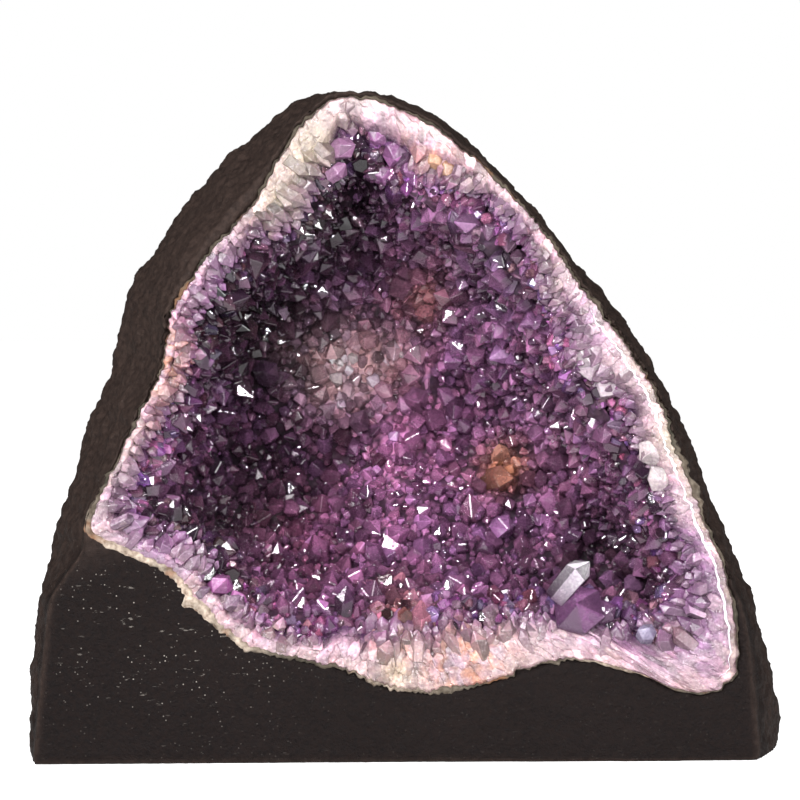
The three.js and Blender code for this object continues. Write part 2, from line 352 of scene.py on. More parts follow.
def bumped(g, strength, distance, height):
    bump = g.node("ShaderNodeBump")
    bump.inputs["Strength"].default_value = strength
    bump.inputs["Distance"].default_value = distance
    g.link(height, bump.inputs["Height"])
    g.link(bump.outputs["Normal"], g.shader.inputs["Normal"])


paintLook = {
    "paint": (0.0020, 0.0011, 0.0012),
    "worn": (0.0046, 0.0028, 0.0028),
    "tan": (0.034, 0.022, 0.018),
    "dust": (0.30, 0.27, 0.24),
    "roughness": 0.62,
    "gloss": 0.07,
}


def paintedRock():
    g = Graph("painted_rock")
    tree = g.tree
    coords = g.node("ShaderNodeTexCoord").outputs["Object"]
    broad = placeGroup(tree, mottle, Scale=26.0, Contrast=0.5)
    fine = placeGroup(tree, mottle, Scale=900.0, Contrast=0.6)
    base = mixColour(tree, mathNode(tree, "MULTIPLY", broad.outputs["Mask"], 0.75),
                     paintLook["paint"], paintLook["worn"])
    base = mixColour(tree, mathNode(tree, "MULTIPLY", fine.outputs["Mask"], 0.13),
                     base, paintLook["tan"])
    # mask of worn edges plus painted light that makes the sides lighter
    worn = g.node("ShaderNodeAttribute", attribute_name="wear_and_lit_sides").outputs["Fac"]
    grit = placeGroup(tree, mottle, Scale=520.0, Contrast=1.0)
    worn = mathNode(tree, "MULTIPLY", worn, rangeNode(tree, grit.outputs["Mask"], 0, 1, 0.6, 1.35))
    base = mixColour(tree, mathNode(tree, "MULTIPLY", worn, 0.66), base, paintLook["tan"])
    # pale specks and short scuffs
    specks = g.node("ShaderNodeTexVoronoi")
    specks.inputs["Scale"].default_value = 640
    specks.inputs["Randomness"].default_value = 1
    g.link(coords, specks.inputs["Vector"])
    dot = rangeNode(tree, specks.outputs["Distance"], 0.16, 0.05)
    pick = mathNode(tree, "GREATER_THAN", noiseNode(tree, coords, 90, 2), 0.5)
    dust = g.node("ShaderNodeAttribute", attribute_name="dust").outputs["Fac"]
    speckMask = mathNode(tree, "MULTIPLY", mathNode(tree, "MULTIPLY", dot, pick), dust, clamp=True)
    stretch = g.node("ShaderNodeMapping")
    stretch.inputs["Scale"].default_value = (0.3, 1, 0.9)
    stretch.inputs["Rotation"].default_value = (0, 0.7, 0)
    g.link(coords, stretch.inputs["Vector"])
    scuff = rangeNode(tree, noiseNode(tree, stretch.outputs["Vector"], 900, 3, 0.7), 0.66, 0.73)
    scuff = mathNode(tree, "MULTIPLY", scuff, dust, clamp=True)
    allMarks = mathNode(tree, "MAXIMUM", speckMask, mathNode(tree, "MULTIPLY", scuff, 0.4))
    base = mixColour(tree, mathNode(tree, "MULTIPLY", allMarks, 0.75), base, paintLook["dust"])
    g.link(base, g.shader.inputs["Base Color"])
    g.link(rangeNode(tree, fine.outputs["Height"], 0.3, 0.7,
                     paintLook["roughness"] - 0.12, paintLook["roughness"] + 0.14),
           g.shader.inputs["Roughness"])
    sand = placeGroup(tree, fineGrain, Scale=1400.0, Detail=5.0, Sharpness=0.65).outputs["Height"]
    dents = placeGroup(tree, fineGrain, Scale=260.0).outputs["Height"]
    bumped(g, 0.8, 0.0006, mathNode(tree, "ADD", sand, mathNode(tree, "MULTIPLY", dents, 1.6)))
    g.shader.inputs["Specular IOR Level"].default_value = paintLook["gloss"]
    return g.material


# uneven is the strength of the bump, and haze the strength of the pale veils
crystalKinds = {
    "amethyst": {"transmission": 0.55, "roughness": 0.05, "subsurface": 0.0, "haze": 0.12, "uneven": 0.14},
    "rim_quartz": {"transmission": 0.2, "roughness": 0.16, "subsurface": 0.3, "haze": 0.3, "uneven": 0.6},
    "rim_polish": {"transmission": 0.0, "roughness": 0.04, "subsurface": 0.0, "haze": 0.0, "uneven": 0.1},
    "rim_plate": {"transmission": 0.0, "roughness": 0.2, "subsurface": 0.25, "haze": 0.35, "uneven": 0.7},
    "lining_base": {"transmission": 0.0, "roughness": 0.6, "subsurface": 0.0, "haze": 0.0, "uneven": 0.6,
                    "gloss": 0.08},
}


def crystalMaterial(name):
    look = crystalKinds[name]
    g = Graph(name)
    tree = g.tree
    cloud = placeGroup(tree, crystalClouds, Haze=look["haze"])
    g.link(g.node("ShaderNodeAttribute", attribute_name="tint").outputs["Color"], cloud.inputs["Tint"])
    g.link(cloud.outputs["Colour"], g.shader.inputs["Base Color"])
    roughness = look["roughness"]
    g.link(rangeNode(tree, cloud.outputs["Height"], 0.3, 0.7, roughness * 0.6, roughness * 1.8),
           g.shader.inputs["Roughness"])
    g.shader.inputs["Transmission Weight"].default_value = look["transmission"]
    g.shader.inputs["IOR"].default_value = 1.544
    g.shader.inputs["Specular IOR Level"].default_value = look.get("gloss", 0.5)
    g.shader.inputs["Subsurface Weight"].default_value = look["subsurface"]
    g.shader.inputs["Subsurface Radius"].default_value = (0.9, 0.5, 1.0)
    g.shader.inputs["Subsurface Scale"].default_value = 0.004
    bumped(g, look["uneven"], 0.0004, placeGroup(tree, fineGrain, Scale=800.0).outputs["Height"])
    return g.material


crustLook = {
    "brown": (0.050, 0.038, 0.028),
    "green": (0.012, 0.012, 0.008),
    "grit": (0.14, 0.115, 0.09),
    "tan": (0.14, 0.10, 0.075),
    "cream": (0.40, 0.33, 0.27),
    "rust": (0.20, 0.085, 0.04),
    "roughness": 0.8,
    "gloss": 0.12,
}


def crustMaterial():
    g = Graph("mineral_crust")
    tree = g.tree
    coords = g.node("ShaderNodeTexCoord").outputs["Object"]
    patch = placeGroup(tree, mottle, Scale=90.0, Contrast=0.9)
    grit = placeGroup(tree, mottle, Scale=700.0, Contrast=0.8)
    base = mixColour(tree, patch.outputs["Mask"], crustLook["brown"], crustLook["green"])
    base = mixColour(tree, mathNode(tree, "MULTIPLY", grit.outputs["Mask"], 0.25), base, crustLook["grit"])
    pale = g.node("ShaderNodeAttribute", attribute_name="pale").outputs["Fac"]
    flaky = mixColour(tree, grit.outputs["Mask"], crustLook["tan"], crustLook["cream"])
    base = mixColour(tree, pale, base, flaky)
    rust = rangeNode(tree, noiseNode(tree, coords, 70, 3), 0.58, 0.68)
    base = mixColour(tree, mathNode(tree, "MULTIPLY", rust, 0.6), base, crustLook["rust"])
    g.link(base, g.shader.inputs["Base Color"])
    g.shader.inputs["Roughness"].default_value = crustLook["roughness"]
    g.shader.inputs["Specular IOR Level"].default_value = crustLook["gloss"]
    bumped(g, 0.7, 0.0005, placeGroup(tree, fineGrain, Scale=1200.0, Sharpness=0.7).outputs["Height"])
    return g.material


rockPaint = paintedRock()
crustStone = crustMaterial()
amethystMaterial = crystalMaterial("amethyst")
rimMaterial = crystalMaterial("rim_quartz")
polishMaterial = crystalMaterial("rim_polish")
plateMaterial = crystalMaterial("rim_plate")
liningMaterial = crystalMaterial("lining_base")
print("materials ready")


rimSteps = 1440
rimAngles = np.arange(rimSteps) * 2 * math.pi / rimSteps
crustLoops = faceLoops("celadonite_crust")
druseLoops = faceLoops("amethyst_druse")
# where the fine outlines leave the frame's: degrees clockwise from the top, then mm outwards for the
# band's outer edge, the band's inner edge and the rock
outlineShifts = [
    (0, 2.4, 3.4, -0.6), (16, 2.8, 6.0, -1.6), (32, 2.6, 6.0, -1.6), (48, 1.4, 3.8, -2.0),
    (60, 1.6, -1.4, -2.6), (76, 1.5, 5.2, -3.6), (92, 0.5, 4.0, -4.6), (104, 0.7, 0.0, -5.2),
    (114, 1.3, 3.0, -2.6), (128, -0.9, -5.5, 0.0), (140, -3.0, -8.0, 2.6), (156, -1.3, -2.2, 0.8),
    (172, -3.4, -0.4, 0.0), (188, -2.9, 3.6, 0.0), (204, -1.3, 2.8, 0.0), (220, -3.9, 2.0, 0.0),
    (236, -3.6, -2.2, 0.0), (248, -4.5, -1.4, -0.4), (262, -3.6, 2.0, -2.6), (276, -1.3, -2.8, -2.6),
    (290, -2.5, -2.0, -1.4), (310, -2.2, 0.9, 1.4), (326, -3.4, 2.6, 2.4), (336, -2.1, 1.3, -0.6),
    (346, -0.1, -0.6, 0.0), (354, 1.9, 5.4, 0.2),
]


# one value of noise for each step around the rim
def rimNoise(turns, seed):
    ring = [Vector((math.sin(a) * turns, math.cos(a) * turns, seed)) for a in rimAngles]
    return np.array([noise.noise(p) for p in ring])


wobble = rimNoise(6, 4)
shiftAngles, outerShift, innerShift, rockShift = np.array(outlineShifts, float).T
degrees = np.degrees(rimAngles)
outerReach = softened(radialOutline(crustLoops[1], rimSteps), 8)
outerReach += softened(np.interp(degrees, shiftAngles, outerShift, period=360), 20) * mm
outerReach += (0.5 * wobble + 0.7 * rimNoise(17, 8) + 0.8 * rimNoise(60, 1)) * mm
innerReach = softened(radialOutline(druseLoops[0], rimSteps), 8)
innerReach += softened(np.interp(degrees, shiftAngles, innerShift, period=360), 20) * mm
innerReach += (1.2 * wobble + 2.4 * rimNoise(11, 6)) * mm
rockReach = softened(np.interp(degrees, shiftAngles, rockShift, period=360), 30) * mm
print("rim outlines ready")


# point on the sawn face: across runs from 0 at the band's outer edge to 1 at its inner edge
def rimPoint(step, across):
    i = int(step) % rimSteps
    reach = outerReach[i] * (1 - across) + innerReach[i] * across
    return Vector((cavityCentre.x + math.sin(rimAngles[i]) * reach, faceY,
                   cavityCentre.z + math.cos(rimAngles[i]) * reach))


# unit direction from the band's outer edge square into the cavity
def rimInward(step):
    a, b = rimPoint(step - 14, 0.3), rimPoint(step + 14, 0.3)
    along = (b - a).normalized()
    return Vector((along.z, 0, -along.x))


# the way walked along the band's middle at each step
rimWalk = np.cumsum([0] + [(rimPoint(i + 1, 0.5) - rimPoint(i, 0.5)).length for i in range(rimSteps)])
rimLength = rimWalk[-1]


# how far across the band a point lies: 0 at the outer edge, 1 at the inner edge
def acrossAt(point):
    rel = point - cavityCentre
    i = int(round(math.atan2(rel.x, rel.z) / (2 * math.pi) * rimSteps)) % rimSteps
    return (outerReach[i] - math.hypot(rel.x, rel.z)) / (outerReach[i] - innerReach[i])


def stepAt(distance):
    return int(np.searchsorted(rimWalk, distance % rimLength)) % rimSteps


rockShape = {
    "voxel": 1.1 * mm,
    "lumps": 1.2 * mm,
    "pits": 0.8 * mm,
    "grain": 0.3 * mm,
    "lumpScale": 75,
    "pitScale": 260,
    "grainScale": 900,
    "smoothing": 90,    # rounds, on the sides and the back only
    "recess": 5 * mm,    # how far the face steps back behind the band
    "deeper": 9 * mm,    # and further back inside the band's inner edge
    # the stepped part under the crystals is nearly black: painted shade seen between the crystals
    "shadedBacking": (0.022, 0.009, 0.022),    # colour of the stepped part, seen between the crystals
    "dust": (-67, 38, 26, 22),    # x, z, half width and half height of the dusty patch in mm
    "dustAround": 0.08,
}


# smooths the part of a mesh that the weights pick out
def relaxed(obj, weights, rounds):
    group = obj.vertex_groups.new(name="loose")
    for level in range(1, 11):
        picked = np.nonzero(np.round(weights * 10) == level)[0]
        group.add(picked.tolist(), level / 10, "REPLACE")
    soft = obj.modifiers.new("relax", "SMOOTH")
    soft.factor = 0.5
    soft.iterations = rounds
    soft.vertex_group = "loose"
    bpy.context.view_layer.update()
    mesh = bpy.data.meshes.new_from_object(obj.evaluated_get(bpy.context.evaluated_depsgraph_get()))
    obj.modifiers.remove(soft)
    obj.data = mesh
    obj.vertex_groups.clear()


# an outline's reach at any angles
def reachAt(around, outline):
    return np.interp(around, rimAngles, outline, period=2 * math.pi)


# 1 where the rock's side starts at the band, 0 along the bottom, where a wide front face lies between
def sideShare(around):
    degree = np.degrees(around)
    return np.where(degree > 180, smoothStep(247, 258, degree), 1 - smoothStep(108, 118, degree))


# outward shifts that make the sides run straight from the sawn face to the widest contour
def straightened(around, reach, depth):
    lip = reachAt(around, outerReach) + 1.2 * mm
    sectors = 180
    sector = (around / (2 * math.pi) * sectors).astype(int) % sectors
    widest, widestDepth = np.zeros(sectors), np.zeros(sectors)
    for k in range(sectors):
        members = np.nonzero(sector == k)[0]
        far = members[np.argmax(reach[members])]
        widest[k], widestDepth[k] = reach[far], depth[far]
    middles = (np.arange(sectors) + 0.5) * 2 * math.pi / sectors
    far = np.interp(around, middles, softened(widest, 4), period=2 * math.pi)
    farDepth = np.interp(around, middles, softened(widestDepth, 8), period=2 * math.pi)
    back = np.clip(depth / farDepth, 0, 1)
    target = np.maximum(lip + (far - lip) * back ** 0.8, lip + 0.2 * (reach - lip))
    amount = sideShare(around) * smoothStep(0, 1.5 * mm, reach - lip) * (1 - smoothStep(0.8, 1.0, back))
    return (target - reach) * amount


# worn edges, dust, painted light that makes the sides lighter, and the stepped part under the crystals
# painted dark as shade
def markRock(obj, co, no, around, margin):
    obj.data.materials.append(rockPaint)
    wear_and_lit_sides = obj.data.attributes.new("wear_and_lit_sides", "FLOAT", "POINT")
    edge = (1 - smoothStep(0, 5 * mm, co[:, 1] - faceY)) * (1 - np.abs(no[:, 1]) ** 4)
    # the sides behind the front face, and the lip where they meet the band, are painted lighter: painted
    # light, as on a lit side; only the edge term is worn paint
    side = smoothStep(2 * mm, 12 * mm, co[:, 1] - faceY) * 0.7
    lip = sideShare(around) * 0.75
    wear_and_lit_sides.data.foreach_set("value", np.clip(np.maximum(edge + side, lip), 0, 1).astype(np.float32))
    dust = obj.data.attributes.new("dust", "FLOAT", "POINT")
    x, z, width, height = (value * mm for value in rockShape["dust"])
    lowLeft = np.exp(-(((co[:, 0] - x) / width) ** 2 + ((co[:, 2] - z) / height) ** 2))
    dusty = np.clip(rockShape["dustAround"] + lowLeft * 1.5, 0, 1)
    dust.data.foreach_set("value", dusty.astype(np.float32))
    # the stepped part under the crystals gets the lining material with a nearly black tint: painted shade
    obj.data.materials.append(liningMaterial)
    under = (margin < -1.2 * mm) & (co[:, 1] < faceY + 60 * mm)
    for poly in obj.data.polygons:
        if all(under[v] for v in poly.vertices) and poly.center.y < faceY + 40 * mm and poly.normal.y < 0.6:
            poly.material_index = 1
    addTint(obj, np.tile(np.array([rockShape["shadedBacking"]], np.float32), (len(co), 1)))


def makeRock():
    obj = remeshed("rock_shell", ["painted_basalt_shell", "celadonite_crust", "quartz_rim_band"],
                   rockShape["voxel"] * (1), 2)
    co = meshArrays(obj)[0]
    loose = smoothStep(1.5 * mm, 6 * mm, co[:, 1] - faceY) * smoothStep(0.5 * mm, 5 * mm, co[:, 2])
    relaxed(obj, loose, rockShape["smoothing"])
    co = meshArrays(obj)[0]
    around, reach, rel = polar(co)
    shift = reachAt(around, rockReach)
    shift *= smoothStep(0, 9 * mm, reach - reachAt(around, outerReach))
    shift += straightened(around, reach, co[:, 1] - faceY)
    co[:, 0] += rel[:, 0] / reach * shift
    co[:, 2] = np.maximum(co[:, 2] + rel[:, 1] / reach * shift, 0)
    obj.data.vertices.foreach_set("co", co.ravel())
    obj.data.update()
    co, no = meshArrays(obj)
    # the sawn face and the sawn base stay flat but for the grain
    rough = smoothStep(0.3 * mm, 7 * mm, co[:, 1] - faceY) * smoothStep(0.2 * mm, 4 * mm, co[:, 2])
    lumpScale, pitScale = rockShape["lumpScale"], rockShape["pitScale"]
    move = np.zeros(len(co))
    for i, point in enumerate(co):
        p = Vector(point)
        lump = noise.noise(p * lumpScale) + 0.6 * noise.noise(p * (2 * lumpScale) + Vector((3, 1, 7)))
        pit = noise.noise(p * pitScale) + 0.5 * noise.noise(p * (2 * pitScale))
        grain = noise.noise(p * rockShape["grainScale"])
        move[i] = rough[i] * (rockShape["lumps"] * lump + rockShape["pits"] * pit)
        move[i] += rockShape["grain"] * grain * (0.25 + 0.75 * rough[i])
    co += no * move[:, None]
    co[:, 1] = np.maximum(co[:, 1], faceY)
    # the face steps back where the crust and the quartz band lie in it
    around, reach, rel = polar(co)
    margin = reach - reachAt(around, outerReach)
    step = smoothStep(0.9 * mm, -0.9 * mm, margin) * rockShape["recess"]
    step += smoothStep(2 * mm, -2.5 * mm, reach - reachAt(around, innerReach)) * rockShape["deeper"]
    co[:, 1] = np.maximum(co[:, 1], faceY + step)
    co[:, 2] = np.maximum(co[:, 2], 0)
    obj.data.vertices.foreach_set("co", co.ravel())
    markRock(obj, co, no, around, margin)
    obj.data.shade_smooth()
    place(obj, "painted_rock", "painted_basalt_shell")
    print("rock ready,", len(co), "vertices")


makeRock()


# vertices and faces of a quartz crystal: six unequal prism faces under an uneven six-faced point
def crystalParts(tip, axis, radius, length, rng, sharp=1.0):
    side = axis.orthogonal().normalized()
    side.rotate(Quaternion(axis, rng.uniform(0, 2 * math.pi)))
    across = axis.cross(side)
    pointHeight = radius * rng.uniform(0.95, 1.3) * sharp
    lean = side * rng.uniform(-0.22, 0.22) * radius + across * rng.uniform(-0.22, 0.22) * radius
    base = tip - axis * length
    low, high = [], []
    for k in range(6):
        angle = k * math.pi / 3
        reach = radius * rng.uniform(0.84, 1.12)
        spoke = side * math.cos(angle) * reach + across * math.sin(angle) * reach
        low.append(base + spoke * 0.92)
        drop = pointHeight * (1 + (0.2 if k % 2 else -0.12) + rng.uniform(-0.1, 0.1))
        high.append(tip - axis * min(drop, length * 0.9) + spoke)
    vertices = low + high + [tip + lean]
    faces = [(k, (k + 1) % 6, 6 + (k + 1) % 6, 6 + k) for k in range(6)]
    faces += [(6 + k, 6 + (k + 1) % 6, 12) for k in range(6)]
    faces += [(5, 4, 3, 2, 1, 0)]
    return vertices, faces


# many crystals gathered into one piece, with a colour for each corner of each face; each face is painted
# lighter and darker at random, as painted light and shade in place of reflections inside the crystal
class CrystalBatch:
    def __init__(self):
        self.vertices, self.faces, self.colours = [], [], []

    def add(self, parts, rootColour, tipColour, rng, middle=0.6, facetShadeSpread=0.3):
        vertices, faces = parts
        start = len(self.vertices)
        self.vertices += vertices
        ends = [rootColour] * 6 + [blend(rootColour, tipColour, middle)] * 6 + [tipColour]
        for face in faces:
            # random brightness for this face: painted light and shade
            shade = math.exp(rng.gauss(-0.5 * facetShadeSpread ** 2, facetShadeSpread))
            self.faces.append(tuple(start + i for i in face))
            self.colours += [tuple(min(0.9, c * shade) for c in ends[i]) for i in face]

    def build(self, name, material, clampFront=False, bevel=0.14 * mm, segments=1):
        points = np.array([tuple(v) for v in self.vertices])
        if clampFront:
            points[:, 1] = np.maximum(points[:, 1], faceY)
            around, reach, rel = polar(points)
            limit = reachAt(around, outerReach) - 0.5 * mm
            points[:, [0, 2]] -= rel * (np.maximum(reach - limit, 0) / reach)[:, None]
        obj = makeObject(name, points, self.faces, material)
        layer = obj.data.color_attributes.new("tint", "FLOAT_COLOR", "CORNER")
        flat = np.ones((len(self.colours), 4), np.float32)
        flat[:, :3] = self.colours
        layer.data.foreach_set("color", flat.ravel())
        edges = obj.modifiers.new("edges", "BEVEL")
        edges.width = bevel
        edges.segments = segments
        edges.limit_method = "ANGLE"
        edges.angle_limit = math.radians(12)
        edges.use_clamp_overlap = True
        return obj


bandLook = {
    "white": (0.37, 0.275, 0.27),
    "lavender": (0.185, 0.092, 0.18),
    "pink": (0.265, 0.145, 0.15),
    "purpleTip": (0.17, 0.06, 0.165),
    "olive": (0.24, 0.20, 0.14),
    # dark purple painted as shade on the parts that lie deep behind the face
    "recessShade": (0.05, 0.018, 0.05),
    "rust": (0.42, 0.17, 0.055),
}
# rusty patches on the band: where (x, z in mm), how wide, how strong
rustPatches = [(-64, 112, 13, 0.8), (-66, 96, 9, 0.6), (2, 168, 7, 0.7), (16, 29, 12, 0.8),
               (-4, 37, 9, 0.6), (73, 35, 3.5, 0.9), (7, 168, 6, 0.8), (-38, 41, 7, 0.4)]
olivePatches = [(-27, 172, 12), (-36, 158, 8), (-60, 100, 6), (76, 92, 7), (-4, 26, 6)]
lavenderPatches = [(84, 58, 20), (80, 38, 16), (-62, 128, 20), (56, 124, 14), (-74, 58, 12)]
milkyPatches = [(58, 112, 8), (69, 88, 8), (77, 73, 6), (-24, 176, 8), (25, 30, 9), (36, 31, 8)]


def rustAt(point):
    return max(strength * nearness(point, x, z, width) for x, z, width, strength in rustPatches)


def milkAt(point):
    return max(nearness(point, *patch) for patch in milkyPatches)


# the band's colour at a point: white and pink clouds, purple inwards, with milky, olive and rusty patches
def bandColour(point, rng, across, varied=True):
    n = noise.noise(point * 90)
    mixed = rng.uniform(-0.25, 0.25) if varied else 0
    base = blend(bandLook["white"], bandLook["pink"], min(1, max(0, 0.35 + n)))
    regional = max(nearness(point, *patch) for patch in lavenderPatches)
    base = blend(base, bandLook["lavender"],
                 min(0.9, max(0, across * 0.7 + mixed + 0.5 * regional + 0.4 * noise.noise(point * 60))))
    base = blend(base, bandLook["white"], milkAt(point) * 0.6)
    rusty = rng.uniform(0.1, 0.8) if varied else min(0.8, max(0, 0.45 + 1.2 * noise.noise(point * 300)))
    for patch in olivePatches:
        base = blend(base, bandLook["olive"], 0.9 * nearness(point, *patch))
    base = blend(base, bandLook["rust"], rustAt(point) * rusty)
    shade = rng.uniform(0.5, 1.15) if varied else 1
    return tuple(min(0.9, c * shade) for c in base)


polishedLook = {
    "least": 0.3,
    "wider": ((185, 55, 0.36), (85, 50, 0.28), (350, 25, 0.2)),    # middle and spread in degrees, extra share
    "uneven": 0.07,
}


# share of the band that the saw left flat: widest along the bottom, narrow on the left
def polishedWidth(step):
    angle = math.degrees(rimAngles[step % rimSteps])
    share = polishedLook["least"]
    for middle, spread, extra in polishedLook["wider"]:
        away = (angle - middle + 180) % 360 - 180
        share += extra * math.exp(-(away / spread) ** 2)
    return share + polishedLook["uneven"] * noise.noise(rimPoint(step, 0.5) * 90)


chamferLook = {
    "from": 50,
    "to": 127,
    "inset": 2.4 * mm,
    "width": 0.5 * mm,
    "colour": (0.8, 0.77, 0.8),
    # across in half widths, depth in mm: a rounded edge, so that some of it always catches the light
    "profile": ((1.7, 0.7), (1.2, 0.3), (0.7, 0.1), (0.2, 0.02), (-0.3, 0.04), (-0.8, 0.2), (-1.5, 0.8)),
}


def onChamfer(step):
    return chamferLook["from"] < math.degrees(rimAngles[step]) < chamferLook["to"]


plateShape = {
    "rows": 46,
    "cellAlong": 3.4 * mm,
    "cellAcross": 5.2 * mm,
    "jumble": 0.5,
}


# intergrown crystals cut by the saw: each cell is one crystal with its own tone, height and tilt
def plateCells(rng):
    cells = []
    along = 0.0
    while along < rimLength:
        for row in range(4):
            cells.append((along + rng.uniform(-0.4, 0.4) * plateShape["cellAlong"],
                          (row + rng.uniform(-0.45, 0.45) + 0.35) * plateShape["cellAcross"],
                          rng.gauss(0, 1), rng.gauss(0, 1), rng.gauss(0, 1), rng.gauss(0, 1), rng.random()))
        along += plateShape["cellAlong"] * rng.uniform(0.7, 1.3)
    return np.array(cells)


def makeBandPlate():
    rng = random.Random(11)
    # how far across, measured in polished widths, and how deep in mm
    stops = np.array([(-0.05, 1.6), (0.0, 0.5), (0.08, 0.06), (0.3, 0.0), (0.65, 0.05), (0.85, 0.2),
                      (1.0, 0.6), (1.15, 1.6), (1.4, 3.4), (1.7, 5.5), (2.1, 8.0), (2.6, 11.0), (3.0, 13.0)])
    cells = plateCells(rng)
    rows = plateShape["rows"]
    vertices, colours, faces = [], [], []
    for i in range(rimSteps):
        polished = polishedWidth(i)
        outer, inner = rimPoint(i, 0), rimPoint(i, 1)
        bandWidth = (inner - outer).length
        away = np.abs(cells[:, 0] - rimWalk[i])
        near = cells[np.minimum(away, rimLength - away) < 3 * plateShape["cellAlong"]]
        for k in range(rows):
            across = -0.02 + 1.07 * k / (rows - 1)
            point = rimPoint(i, across)
            warp = (1.6 * noise.noise(point * 170) + 0.8 * noise.noise(point * 500)) * mm
            here = np.array([rimWalk[i] + warp, across * bandWidth + warp])
            gap = near[:, :2] - here
            gap[:, 0] = (gap[:, 0] + rimLength / 2) % rimLength - rimLength / 2
            reach = np.hypot(gap[:, 0] / plateShape["cellAlong"], gap[:, 1] / plateShape["cellAcross"])
            first, second = np.argsort(reach)[:2]
            cell = near[first]
            seam = float(smoothStep(0.0, 0.07, reach[second] - reach[first]))
            rough = float(smoothStep(0.7, 1.25, across / polished))
            calm = milkAt(point)
            rough *= 1 - 0.7 * calm
            lift = plateShape["jumble"] * (0.2 + 0.8 * rough) * (1 - 0.5 * calm)
            tilt = (gap[first, 0] * cell[4] + gap[first, 1] * cell[5]) / mm * 0.12
            depth = np.interp(across / polished, stops[:, 0], stops[:, 1]) + 0.35
            depth += lift * (cell[3] + tilt) + 0.22 * (1 - seam) + 0.12 * noise.noise(point * 900)
            onRight = onChamfer(i)
            if onRight and across * bandWidth < chamferLook["inset"] + 1.2 * mm:
                depth = max(depth, 0.45)
            vertices.append(Vector((point.x, faceY + max(0.02, depth) * mm, point.z)))
            tone = bandColour(Vector((point.x, 0.3 * cell[6], point.z)), rng, max(0, across), False)
            if onRight and across * bandWidth < chamferLook["inset"]:
                tone = blend(tone, bandLook["olive"], 0.35 + 0.5 * noise.noise(point * 200))
            streak = noise.noise(Vector((rimWalk[i] * 800, across * bandWidth * 240, 2.2)))
            grain = 0.4 * noise.noise(point * 420) + 0.35 * noise.noise(point * 1100)
            shade = math.exp((0.22 * cell[2] + 0.5 * streak + grain) * (1 - 0.6 * calm))
            shade *= 0.8 + 0.2 * seam
            # the deeper parts of the band darken towards this: painted shade
            tone = blend(tone, bandLook["recessShade"], float(smoothStep(1.4, 5.0, depth)))
            colours.append(tuple(min(0.85, c * shade) for c in tone))
    for i in range(rimSteps):
        for k in range(rows - 1):
            a, b = i * rows + k, ((i + 1) % rimSteps) * rows + k
            faces.append((a, a + 1, b + 1, b))
    obj = makeObject("rim_band", vertices, faces, plateMaterial, smooth=False)
    addTint(obj, np.array(colours, np.float32))
    place(obj, "quartz", "quartz_rim_band")
    return obj


# where larger crystals or smooth blocks take the place of columns: x, z and reach in mm
clearings = [(48, 44, 8.5), (-52, 52, 4.5), (67, 37, 3.6), (-24, 175, 6), (-8, 171, 9), (6, 168, 4),
             (26, 32, 5), (69, 88, 5)]
# how far the columns' faces are painted lighter and darker at random, as painted light and shade
columnFacetShadeSpread = 0.26
# each row: spacing, depth of the axis, root and tip across the band, half width, purple of the tip and
# lean out of the face
columnRows = [
    (4.2, 2.0, 0.20, 0.72, (1.5, 2.6), 0.05, 0.05),
    (3.4, 2.6, 0.34, 0.92, (1.7, 3.0), 0.3, 0.1),
    (3.0, 3.9, 0.46, 1.02, (1.7, 3.0), 0.7, 0.15),
    (2.9, 6.0, 0.55, 1.08, (1.7, 3.0), 0.95, 0.15),
    (3.0, 8.8, 0.60, 1.13, (1.8, 3.1), 1.0, 0.15),
    (3.2, 12.0, 0.64, 1.18, (1.8, 3.1), 1.0, 0.15),
    (2.8, 4.6, 0.75, 1.20, (1.3, 2.1), 1.0, 0.3),
    (2.8, 7.6, 0.80, 1.27, (1.3, 2.1), 1.0, 0.3),
]


def makeBandColumns():
    rng = random.Random(5)
    batches = [CrystalBatch() for _ in range(4)]
    for index, (spacing, depth, root, tipAcross, radii, purple, lean) in enumerate(columnRows):
        distance = 0.0
        while distance < rimLength / mm:
            step = stepAt(distance * mm)
            distance += spacing * rng.uniform(0.6, 1.35)
            inward = rimInward(step)
            outer, inner = rimPoint(step, 0), rimPoint(step, 1)
            bandWidth = (inner - outer).length
            radius = rng.uniform(*radii) * mm
            tip = rimPoint(step, tipAcross)
            tip += inward * (rng.uniform(-1.4, 1.4) + 3.2 * noise.noise(tip * 70)) * mm
            sway = rng.uniform(-0.35, 0.35)
            forward = -lean + rng.uniform(-0.25, 0.2)
            axis = (inward + Vector((sway, forward, rng.uniform(-0.35, 0.35)))).normalized()
            tip.y = faceY + (depth + rng.uniform(-0.8, 0.8)) * mm
            fromEdge = (tip - outer).dot(inward)
            length = min(bandWidth * (tipAcross - root) * rng.uniform(0.9, 1.15), fromEdge - 2.2 * mm, 9 * mm)
            foot = tip - axis * length
            if acrossAt(foot) < 0.06 or length < radius or (index == 0 and polishedWidth(step) > 0.5):
                continue
            if depth < 8 and any(math.hypot(tip.x - x * mm, tip.z - z * mm) < width * mm
                                 for x, z, width in clearings):
                continue
            rootColour = bandColour(rimPoint(step, 0.5), rng, 0.2)
            tipColour = bandColour(tip, rng, 0.9)
            calm = 1 - 0.8 * milkAt(tip)
            tipColour = blend(tipColour, bandLook["purpleTip"], purple * rng.uniform(0.35, 1.0) * calm)
            # roots that lie deep behind the face darken: painted shade
            rootColour = blend(rootColour, bandLook["recessShade"], min(0.9, max(0, depth - 3) / 6))
            parts = crystalParts(tip, axis, radius, max(length, radius * 2), rng)
            batches[index // 2].add(parts, rootColour, tipColour, rng, 0.5, columnFacetShadeSpread)
    for index, batch in enumerate(batches):
        obj = batch.build("rim_columns_%d" % (index + 1), rimMaterial, clampFront=True)
        place(obj, "quartz")


